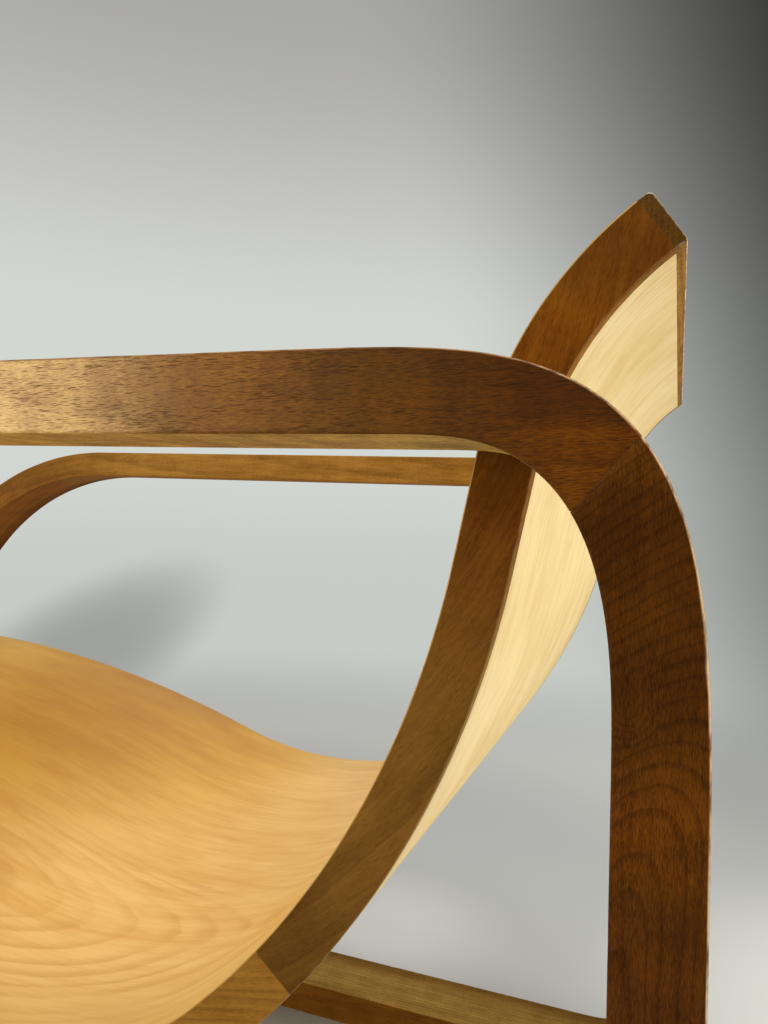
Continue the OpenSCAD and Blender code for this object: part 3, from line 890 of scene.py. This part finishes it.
# %% Helpers for node trees
def new_tree(name, inputs):
    """Returns a function that adds a node, the group's inputs, and a function that ends the tree and returns it."""
    tree = bpy.data.node_groups.new(name, "GeometryNodeTree")
    kinds = {"Geometry": "NodeSocketGeometry", **inputs, "Wood": "NodeSocketMaterial"}
    for title, kind in kinds.items():
        tree.interface.new_socket(title, in_out="INPUT", socket_type=kind)
    tree.interface.new_socket("Geometry", in_out="OUTPUT", socket_type="NodeSocketGeometry")

    def add(kind, links, **settings):
        """links: input name or identifier -> socket or value."""
        made = tree.nodes.new("GeometryNode" + kind)
        for key, value in settings.items():
            setattr(made, key, value)
        for key, value in links.items():
            socket = next(s for s in made.inputs if key in (s.identifier, s.name))
            if isinstance(value, bpy.types.NodeSocket):
                tree.links.new(value, socket)
            else:
                socket.default_value = value
        return made.outputs[0] if len(made.outputs) else made

    given = tree.nodes.new("NodeGroupInput").outputs

    def end(geometry):
        real = add("RealizeInstances", {"Geometry": geometry})
        paint = add("SetMaterial", {"Geometry": real, "Material": given["Wood"]})
        tree.links.new(paint, tree.nodes.new("NodeGroupOutput").inputs["Geometry"])
        return tree

    return add, given, end


def plain_mesh(name, data, tree, **inputs):
    """Runs the tree on an object made from data and returns the result as a plain mesh."""
    holder = placed(name + "_holder", data)
    running = holder.modifiers.new("nodes", "NODES")
    running.node_group = tree
    for item in tree.interface.items_tree:
        if item.in_out == "INPUT" and item.name in inputs:
            running[item.identifier] = inputs[item.name]
    graph = bpy.context.evaluated_depsgraph_get()
    mesh = bpy.data.meshes.new_from_object(holder.evaluated_get(graph))
    mesh.name = name
    bpy.data.objects.remove(holder)
    return mesh


print("tree helpers ready")

# %% [markdown]
# ## Sweeping the shell
# Boards and facings follow the face line, so one tree makes them all: it trims the line to the stretch that a piece
# covers, keeps its normals upright, sweeps the piece's cross-section along it, and remembers two things on the
# points, how far along the line they lie and which point of the section they came from. Moving a seam is then one
# number. A Solidify modifier on a bent sheet would be the manual way, but it can't cut the rebate in the boards.

# %% The sweep tree and the line it follows
LINE_GAP = 2.5


def sweep_tree():
    add, given, end = new_tree("sweep_along_line", {"Section": "NodeSocketObject", "From": "NodeSocketFloat",
                                                    "To": "NodeSocketFloat"})
    how_far = add("SplineParameter", {}).node.outputs["Length"]
    marked = add("StoreNamedAttribute", {"Geometry": given["Geometry"], "Name": "along", "Value": how_far},
                 data_type="FLOAT", domain="POINT")
    trimmed = add("TrimCurve", {"Curve": marked, "Start_001": given["From"], "End_001": given["To"]}, mode="LENGTH")
    upright = add("SetCurveNormal", {"Curve": trimmed}, mode="Z_UP")
    section = add("ObjectInfo", {"Object": given["Section"]}).node.outputs["Geometry"]
    number = add("InputIndex", {})
    outline = add("StoreNamedAttribute", {"Geometry": section, "Name": "section_point", "Value": number},
                  data_type="INT", domain="POINT")
    return end(add("CurveToMesh", {"Curve": upright, "Profile Curve": outline, "Fill Caps": True}))


def polyline(name, points, closed=False):
    curve = bpy.data.curves.new(name, "CURVE")
    curve.dimensions = "3D"
    spline = curve.splines.new("POLY")
    spline.points.add(len(points) - 1)
    for target, point in zip(spline.points, points):
        target.co = (*[float(v) for v in point], 1)
    spline.use_cyclic_u = closed
    return placed(name, curve)


sweeping = sweep_tree()
line_points = [(0, (face(s)[0] + rear_y) * MM, face(s)[1] * MM)
               for s in np.linspace(0, face_length, int(face_length / LINE_GAP))]
face_line = polyline("shell_face_line", line_points)
line_length = float(np.linalg.norm(np.diff(np.array(line_points), axis=0), axis=1).sum())
print("line of", len(line_points), "points,", round(line_length, 5), "m; wanted", round(face_length * MM, 5))

# %% [markdown]
# ### Cross-sections
# A section is a closed outline in millimetres: X across the chair and Y down into the shell. Its corners are rounded
# like the frame's, with a helper point beside each rounding. On a very thin sheet those helper points would overtake
# each other and fold the outline back, so each may use at most a third of the room between two roundings. A flag
# marks the points inside a rounding, and the wear in the materials reads it as the edge attribute.

# %% Sections with rounded corners
SHARP = 0.3


def rounded(outline, radii, beside=0.4):
    """Returns the points and, for those on a rounding larger than SHARP, a flag of 1."""
    outline = np.array(outline, dtype=float)
    ahead = np.roll(outline, -1, axis=0) - outline
    length = np.linalg.norm(ahead, axis=1)
    ahead /= length[:, None]
    half = [math.acos(float(np.clip(-ahead[i - 1] @ ahead[i], -1, 1))) / 2 for i in range(len(radii))]
    cut = np.array([radius / math.tan(angle) for radius, angle in zip(radii, half)])
    room = np.minimum(beside, (length - cut - np.roll(cut, -1)) / 3)
    points, flags = [], []
    for i, radius in enumerate(radii):
        back, on = -ahead[i - 1], ahead[i]
        start, end = outline[i] + back * cut[i], outline[i] + on * cut[i]
        centre = outline[i] + (back + on) / np.linalg.norm(back + on) * radius / math.sin(half[i])
        first = math.atan2(*(start - centre)[::-1])
        turn = (math.atan2(*(end - centre)[::-1]) - first + math.pi) % (2 * math.pi) - math.pi
        points.append(start + back * room[i - 1])
        for t in first + turn * np.arange(ROUND_STEPS + 1) / ROUND_STEPS:
            points.append(centre + radius * np.array((math.cos(t), math.sin(t))))
        points.append(end + on * room[i])
        flags += [0.0, 0.0] + [float(radius > SHARP)] * (ROUND_STEPS - 1) + [0.0, 0.0]
    return np.array(points), np.array(flags)


print("a rounded square has", len(rounded([(0, 0), (9, 0), (9, 9), (0, 9)], [1] * 4)[0]), "points")

# %% [markdown]
# With a section and two stations, the tree makes the piece. Its points come back with the numbers that the tree
# stored on them, and from those the grain function works out grain_place.

# %% A piece swept along the face line
def swept_piece(name, outline, radii, start, end, wood, grain_of, node):
    points, flags = rounded(outline, radii)
    section = polyline(name + "_section", [(-x * MM, y * MM, 0) for x, y in points], closed=True)
    scale = line_length / face_length
    mesh = plain_mesh(name, face_line.data, sweeping, Section=section, From=start * scale, To=end * scale, Wood=wood)
    bpy.data.objects.remove(section)
    along, which = np.empty(len(mesh.vertices)), np.empty(len(mesh.vertices), dtype=np.int32)
    for key, values in (("along", along), ("section_point", which)):
        mesh.attributes[key].data.foreach_get("value", values)
        mesh.attributes.remove(mesh.attributes[key])
    co = positions(mesh) / MM - np.array((0, rear_y, 0))
    place = grain_of(co, points[which], along / scale)
    return finished_piece(name, mesh, flags[which], place * MM, [wood], [node])


print("swept pieces ready")

# %% [markdown]
# ## Seat facing and rear facing
# The sitter's side is one sheet of ash from the top of the back to the nose, thin as a veneer, and the rear is a
# paler sheet that lies in the rebate of the side boards. In both, the fibres simply follow the face line.

# %% Facings
half_width = shell_width / 2
face_veneer, rear_facing_thickness = 0.6, 3.0
board_width, lip_width, edging_thickness, facing_play = 20.0, 7.0, 6.0, 0.2
core_depth = shell_thickness - rear_facing_thickness


def grain_along_line(co, section, along):
    return np.column_stack((-section[:, 1], section[:, 0], along))


def sheet(half, top, bottom):
    return [(-half, top), (half, top), (half, bottom), (-half, bottom)]


swept_piece(
    "seat_facing_ash", sheet(half_width, 0, face_veneer), [0.25, 0.25, 0.05, 0.05],
    edging_thickness, face_length - edging_thickness, seat_ash, grain_along_line, "seat_facing")
swept_piece(
    "rear_facing_ash", sheet(half_width - lip_width - facing_play, core_depth, shell_thickness), [0.1, 0.1, 0.5, 0.5],
    edging_thickness, face_length - edging_thickness, back_ash, grain_along_line, "rear_facing")

# %% [markdown]
# ## Side boards
# Each side of the shell is closed by a dark board in three lengths, cut from planks that were turned to follow the
# bend: in the photograph the fibres of the back's board sweep round like part of a wheel, and below the seam they
# cross the board on the slant. The grain functions copy both. A seam is a gap of a few hundredths between the ends.

# %% Side boards in three lengths
upper_seam, lower_seam, seam_play = 362.2, 740.0, 0.03
wheel_centre, wheel_radius = np.array((-428.4, 734.5)), 400.0
BOARD_PLANK = 3000


def grain_round_wheel(co, section, along):
    spoke = co[:, 1:] - wheel_centre
    turn = np.arctan2(spoke[:, 0], -spoke[:, 1])
    radius = np.linalg.norm(spoke, axis=1)
    return np.column_stack((np.abs(co[:, 0]) - half_width, radius - wheel_radius, turn * wheel_radius))


def grain_straight(heading):
    def grain_of(co, section, along):
        fibre, across = np.array((cos(heading), sin(heading))), np.array((-sin(heading), cos(heading)))
        return np.column_stack((np.abs(co[:, 0]) - half_width, co[:, 1:] @ across, co[:, 1:] @ fibre + BOARD_PLANK))
    return grain_of


board_lengths = (
    ("back_board", edging_thickness, upper_seam, board_wood, grain_round_wheel),
    ("seat_board", upper_seam, lower_seam, light_board_wood, grain_straight(192)),
    ("front_board", lower_seam, face_length - edging_thickness, board_wood, grain_straight(172)),
)
inner_side, lip = half_width - board_width, half_width - lip_width
outline = [(inner_side, face_veneer), (half_width, face_veneer), (half_width, shell_thickness),
           (lip, shell_thickness), (lip, core_depth), (inner_side, core_depth)]
radii = [0.1, 0.1, 0.8, 0.4, 0.1, 0.1]
mirrored = [(-x, y) for x, y in outline][::-1]
for side_name, section, roundings in (("left", outline, radii), ("right", mirrored, radii[::-1])):
    for title, start, end, wood, grain_of in board_lengths:
        swept_piece(f"{title}_{side_name}_wood", section, roundings, start + seam_play, end - seam_play, wood,
                    grain_of, f"{title}_{side_name}")

# %% [markdown]
# ## Edging strips
# The top edge that the camera looks past is a narrow strip with softly rounded corners, worn pale along its rear
# edge. Both strips are short prisms across the chair, so they are built straight from their outline, ring by ring.
# Their two ends are rounded over as well, except on the side of the seam: there the strip and the board meet flush,
# and a rounding would open a dark groove between them.

# %% Top and front edging
END_ROUNDING, END_WORN = 0.6, 0.25
END_FLAT = 2 * END_ROUNDING
RINGS_ACROSS = 160


def strip(name, start, end, seam_after, radii, wood, node):
    """A strip between two stations of the face line; seam_after says that the boards lie beyond its end."""
    first, last = face(start), face(end)
    outline = [under(first, 0), under(first, shell_thickness), under(last, shell_thickness), under(last, 0)]
    area = sum(a[0] * b[1] - a[1] * b[0] for a, b in zip(outline, outline[1:] + outline[:1]))
    if area < 0:
        outline, radii = outline[::-1], radii[::-1]
    points, flags = rounded(outline, radii, beside=0.3)
    tangent = np.roll(points, -1, axis=0) - np.roll(points, 1, axis=0)
    normal = np.column_stack((tangent[:, 1], -tangent[:, 0])) / np.linalg.norm(tangent, axis=1)[:, None]
    to_seam = (under(last, 0) - under(first, 0)) * (1 if seam_after else -1)
    to_seam /= np.linalg.norm(to_seam)
    normal -= np.outer((normal @ to_seam).clip(0, None), to_seam)
    tip = []
    for t in np.linspace(0, math.pi / 2, ROUND_STEPS + 1):
        worn = np.maximum(flags, END_WORN) if 0 < t < math.pi / 2 else 0 * flags
        tip.append((-half_width + END_ROUNDING * (1 - math.cos(t)), END_ROUNDING * (1 - math.sin(t)), worn))
    middle = [(x, 0.0, flags) for x in np.linspace(-half_width + END_FLAT, half_width - END_FLAT, RINGS_ACROSS)]
    marks = tip + middle + [(-x, inset, worn) for x, inset, worn in tip[::-1]]
    rings = np.array([np.column_stack((np.full(len(points), x), points - normal * inset)) for x, inset, _ in marks])
    place = np.stack((rings[..., 1] - outline[0][0], rings[..., 2] - outline[0][1], rings[..., 0] + STRIP_PLANK), -1)
    edge = np.array([worn for _, _, worn in marks])
    return skin(name, into_world(rings), edge, place, [wood], [node])


strip("top_edging_wood", 0, edging_thickness, True, [2.2, 0.8, 0.1, 0.1], edging_wood, "top_edging")
strip("front_edging_wood", face_length - edging_thickness, face_length, False, [0.1, 0.1, 0.8, 1.5], edging_wood,
      "front_edging")

# %% [markdown]
# ## Spacer discs
# Four wooden discs keep the shell off the frames. They are alike, so one is made by sweeping a small section round a
# circle, and Geometry Nodes puts a copy at each fixing. Copying by hand with Alt+D would do for four; the nodes are
# worth it because the fixings may still move.

# %% Spacer discs
spacer_diameter, stud_diameter, stud_play = 20.0, 8.0, 0.15
DISC_POINTS = 64
DISC_PLANK = 0.4


def disc_mesh():
    """A flat ring lying across X, its section swept round the X axis."""
    outside, bore, half = spacer_diameter / 2, stud_diameter / 2 + stud_play, (inner_x - half_width) / 2
    section, _ = rounded([(-half, bore), (half, bore), (half, outside), (-half, outside)], [0.2, 0.2, 0.8, 0.8], 0.2)
    turns = np.linspace(0, 2 * math.pi, DISC_POINTS, endpoint=False)
    co = np.array([[(x, r * math.cos(t), r * math.sin(t)) for x, r in section] for t in turns])
    a = np.arange(co.shape[0] * co.shape[1]).reshape(co.shape[:2])
    b = np.roll(a, -1, axis=1)
    c, d = np.roll(b, -1, axis=0), np.roll(a, -1, axis=0)
    mesh = bpy.data.meshes.new("spacer_disc")
    mesh.from_pydata((co.reshape(-1, 3) * MM).tolist(), [], np.stack((a, b, c, d), axis=-1).reshape(-1, 4).tolist())
    return mesh


def spacer_tree():
    add, given, end = new_tree("spacers_on_places", {"Disc": "NodeSocketObject"})
    disc = add("ObjectInfo", {"Object": given["Disc"]}).node.outputs["Geometry"]
    return end(add("InstanceOnPoints", {"Points": given["Geometry"], "Instance": disc}))


one_disc = placed("one_spacer", disc_mesh())
places = bpy.data.meshes.new("fixing_places")
disc_x = (inner_x + half_width) / 2
places.from_pydata([(side * disc_x * MM, (p[0] + rear_y) * MM, p[1] * MM)
                    for side in (1, -1) for p in (rear_point, front_point)], [], [])
discs = plain_mesh("spacer_discs_wood", places, spacer_tree(), Disc=one_disc, Wood=edging_wood)
co = positions(discs)
finished_piece("spacer_discs_wood", discs, np.zeros(len(co)), co[:, [0, 2, 1]] + DISC_PLANK, [edging_wood],
               ["spacer_discs"])
for spare in (one_disc, face_line):
    bpy.data.objects.remove(spare)

# %% [markdown]
# ## CAD nodes that stay
# What holds the chair together is hidden inside it, and its CAD meshes are exact already. They only take a material.

# %% Materials of the CAD nodes
for names, material in (
    (("shell_core", "frame_tongues_left", "frame_tongues_right", "seam_dowels_left", "seam_dowels_right"), core_wood),
    (("fixing_studs", "frame_inserts", "board_inserts"), steel),
):
    for name in names:
        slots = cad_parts[name].data.materials
        if not slots:
            slots.append(material)
        for place in range(len(slots)):
            slots[place] = material
    print(material.name, "on", ", ".join(names))

# %% [markdown]
# ## Studio
# The room in the photograph is bright and out of focus. Two things are kept apart here: what lights the chair, and
# what shows behind it. A Light Path node tells them apart. Rays that show something, to the camera or in gloss or
# glass, see the background's own tones, and all other rays see an even floor and sky. So the background can be as dark
# or pale as it was without changing the light. Where it shows, the floor has a painted shadow under the chair, a
# painted pool of light beyond it and another beside the runner, and painted shade on its far side, and it turns into
# the background where it gets far.

# %% Floor
def showing(s):
    """1 for rays that show the background, 0 for those that carry light."""
    rays = s.node("ShaderNodeLightPath").outputs
    in_glass = s.math("MAXIMUM", rays["Is Glossy Ray"], rays["Is Transmission Ray"])
    return s.math("MAXIMUM", rays["Is Camera Ray"], in_glass)


def pale_floor():
    s = Shader(bpy.data.materials.new("pale_floor"))
    place = s.node("ShaderNodeTexCoord").outputs["Object"]

    def within(x, y, near, far):
        """1 nearer to the point than near, fading to 0 at far."""
        return s.ramp(s.vector("LENGTH", s.vector("SUBTRACT", place, (x, y, 0))), near, far, 1.0, 0.0)

    # Painted pool of light beyond the chair.
    tone = s.mix(within(-0.45, 0.85, 0.20, 0.50), (0.415, 0.42, 0.405), (0.595, 0.60, 0.555))
    away = s.vector("LENGTH", s.vector("MULTIPLY", place, (1, 1, 0)))
    distant = s.ramp(away, 0.85, 1.35)
    tone = s.mix(distant, tone, (0.52, 0.525, 0.50))
    # Painted shade on the floor's far side.
    shady_side = s.ramp(s.parts(place)["Y"], 0.38, 0.60)
    tone = s.mix(s.times(distant, shady_side), tone, (0.70, 0.70, 0.70), "MULTIPLY")
    # Painted shadow of the chair on the floor beneath it.
    tone = s.mix(within(-0.20, 0.08, 0.08, 0.24), tone, (0.55, 0.52, 0.46), "MULTIPLY")
    # Painted pool of light beside the runner.
    tone = s.mix(within(-0.44, 0.13, 0.03, 0.20), tone, (0.56, 0.555, 0.53))
    mottled = s.mix(s.noise(place, (6, 6, 6), 4, 0.6), (0.60, 0.58, 0.54), (0.68, 0.66, 0.62))
    s.plug(s.surface.inputs["Base Color"], s.mix(showing(s), mottled, tone))
    s.surface.inputs["Roughness"].default_value = 0.6
    s.surface.inputs["Specular IOR Level"].default_value = 0.3
    clear = s.node("ShaderNodeBsdfTransparent").outputs[0]
    faded = s.choose(s.ramp(away, 1.1, 2.4), s.surface.outputs[0], clear)
    s.plug(s.tree.nodes["Material Output"].inputs["Surface"], faded)
    return s.owner


REACH = 6.0
floor_mesh = bpy.data.meshes.new("floor")
floor_mesh.from_pydata([(-REACH, -REACH, 0), (REACH, -REACH, 0), (REACH, REACH, 0), (-REACH, REACH, 0)], [],
                       [(0, 1, 2, 3)])
floor_mesh.materials.append(pale_floor())
floor = placed("floor", floor_mesh)
floor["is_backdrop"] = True
print("floor", 2 * REACH, "m wide")

# %% [markdown]
# ### Background
# Behind the chair the room is pale, darker towards the top, with painted shade at the upper right and one soft painted
# shadow beside the seat. The world is a sphere of directions, so each tone is written as a direction and how far
# around it the tone reaches. The painted shade and the painted shadow only lie where the photograph looks; in every
# other direction the background stays pale.

# %% World
world = Shader(bpy.data.worlds.new("studio"))
bpy.context.scene.world = world.owner
world.tree.nodes.clear()
direction = world.node("ShaderNodeTexCoord").outputs["Generated"]


def facing(vector, low, high, start, end):
    """Goes from start to end as the view turns towards vector."""
    return world.ramp(world.vector("DOT_PRODUCT", direction, vector), low, high, start, end)


def shown_as(brightness, colour):
    return world.node("ShaderNodeBackground", Color=world.mix(brightness, (0, 0, 0), colour)).outputs[0]


in_picture = facing(looking, 0.45, 0.76, 0.0, 1.0)
# Painted shade at the upper right of the background.
darkness = world.times(in_picture, facing(camera_right + 0.35 * camera_up, 0.135, 0.625, 0.0, 0.93))
# A painted shadow on the background beside the seat.
shadow_way = (looking - 0.395 * camera_right - 0.190 * camera_up).normalized()
shadow_along = (0.86 * camera_right + 0.51 * camera_up).cross(shadow_way).cross(shadow_way).normalized()
shadow_across = shadow_along.cross(shadow_way)
shadow_length, shadow_width = 0.22, 0.090
long_part = world.vector("DOT_PRODUCT", direction, shadow_along / shadow_length)
wide_part = world.vector("DOT_PRODUCT", direction, shadow_across / shadow_width)
from_shadow = world.plus(world.times(long_part, long_part), world.times(wide_part, wide_part))
backdrop_shadow = world.times(in_picture, world.ramp(from_shadow, 0.0, 1.0, 0.40, 0.0))
lightness = world.times(world.minus(1.0, darkness), world.minus(1.0, backdrop_shadow),
                        facing(up, 0.20, 0.56, 1.0, 0.60), facing(up, -0.11, 0.06, 0.88, 1.0))
wall_tone = world.mix(facing(up, 0.12, 0.46, 0.0, 1.0), (0.650, 0.680, 0.640), (0.645, 0.640, 0.622))
window_side = Vector((0.97, 0.24, 0))
even_sky = shown_as(facing(window_side, -0.4, 0.75, 0.55, 0.10), (0.98, 0.99, 1.0))
room = world.choose(showing(world), even_sky, shown_as(lightness, wall_tone))
world.plug(world.node("ShaderNodeOutputWorld").inputs["Surface"], room)
print("world nodes:", len(world.tree.nodes))

# %% [markdown]
# ### Lamps
# Four soft lamps light the chair, and the even sky fills in. The largest stands low behind it, where the photograph
# has its windows, and lights the pale underside of the back. One from above brightens the seat, a weak one from the
# far side keeps the far frame readable, and a small rectangle near the arm gives the arm part of its shine; the rest
# of the near arm's shine is painted into its wood.

# %% Lamps
def lamp(name, place, target, size, power, colour):
    light = bpy.data.lights.new(name, "AREA")
    light.shape, light.size, light.energy, light.color = "DISK", size, power, colour
    made = placed(name, light)
    made.location = place
    made.rotation_euler = (Vector(target) - Vector(place)).to_track_quat("-Z", "Y").to_euler()
    return light


lamp("window_behind", (0.2, 2.9, 0.9), (0, 0, 0.4), 2.2, 62, (1.0, 0.99, 0.96))
near_window = lamp("window_front", (1.00, -0.55, 0.74), (0.31, 0.25, 0.58), 0.8, 9.0, (1.0, 0.97, 0.93))
near_window.shape, near_window.size_y = "RECTANGLE", 0.5
lamp("window_far", (-2.3, -0.6, 2.2), (0, 0, 0.4), 1.8, 10, (1.0, 0.98, 0.95))
lamp("ceiling", (0.1, 1.1, 2.4), (0, 0.3, 0.4), 1.6, 38, (1.0, 0.98, 0.95))
print("lamps:", len(bpy.data.lights))

# %% Print the boxes and finish
new_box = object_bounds()
for title, box in (("CAD box", cad_box), ("visual box", new_box)):
    print(title, [[round(v, 5) for v in corner] for corner in box])
